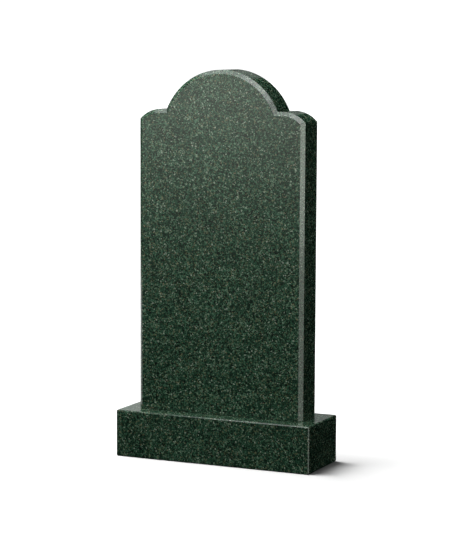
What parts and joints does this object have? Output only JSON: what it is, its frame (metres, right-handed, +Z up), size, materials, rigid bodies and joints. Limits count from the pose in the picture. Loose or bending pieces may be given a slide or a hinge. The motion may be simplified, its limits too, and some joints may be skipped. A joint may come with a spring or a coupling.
{
  "type": "headstone",
  "caption": "Upright headstone of polished dark green granite: a tablet with curved shoulders, a domed head and a bevelled face, on a plain rectangular plinth.",
  "frame": {"origin": "middle of the plinth's underside, where the headstone stands on the ground", "axes": "+Z up, the bevelled face towards -Y, +X to the right of someone reading the face"},
  "size_m": [0.588, 0.202, 1.089],
  "materials": {
    "tablet_granite": "polished",
    "plinth_granite": "polished"
  },
  "bodies": {
    "root": {"tablet": "tablet_granite", "plinth": "plinth_granite"}
  },
  "joints": []
}
